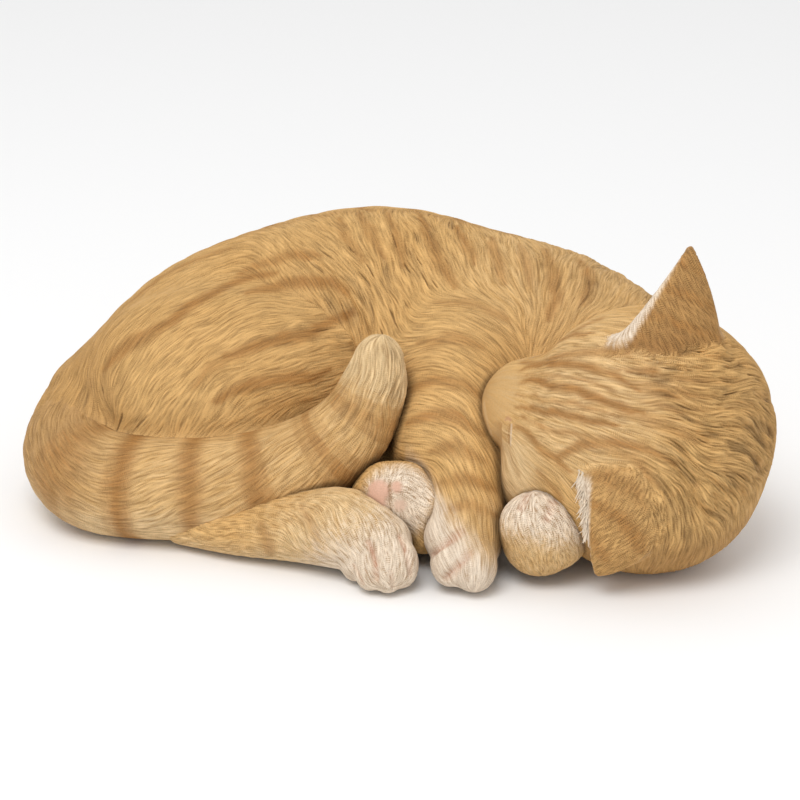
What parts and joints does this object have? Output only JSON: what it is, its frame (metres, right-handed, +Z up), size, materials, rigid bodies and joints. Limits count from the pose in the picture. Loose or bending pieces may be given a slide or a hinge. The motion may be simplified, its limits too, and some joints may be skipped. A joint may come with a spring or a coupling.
{
  "type": "sleeping cat statue",
  "caption": "Statue of a sleeping cat curled nose to paws, painted as an orange tabby, hollow cast body and head, flat underside with a stopper.",
  "frame": {"origin": "centre of the footprint's box, on the surface the statue rests on", "axes": "+Z up; +X towards the end the head lies at, the longest side; -Y is the side with the tail and the paws"},
  "size_m": [0.314, 0.2172, 0.1374],
  "materials": {
    "painted_resin": "matte painted casting with sculpted fur",
    "cream_resin": "matte cream paint over sculpted fur",
    "bare_resin": "unpainted cast resin",
    "felt": "pressed felt",
    "rubber": "matte moulded rubber"
  },
  "bodies": {
    "statue": {"body_shell": "painted_resin", "head_shell": "painted_resin", "upper_ear": "painted_resin", "lower_ear": "painted_resin", "tail": "painted_resin", "near_hind_leg": "cream_resin", "far_hind_paw": "cream_resin", "tucked_forepaw": "cream_resin", "base_plate": "bare_resin", "base_felt": "felt"},
    "stopper": {"vent_plug": "rubber"}
  },
  "joints": [
    {"name": "vent_plug_pull", "type": "slide", "parent": "statue", "child": "stopper", "axis": [0, 0, -1], "range_m": [0, 0.02]}
  ]
}
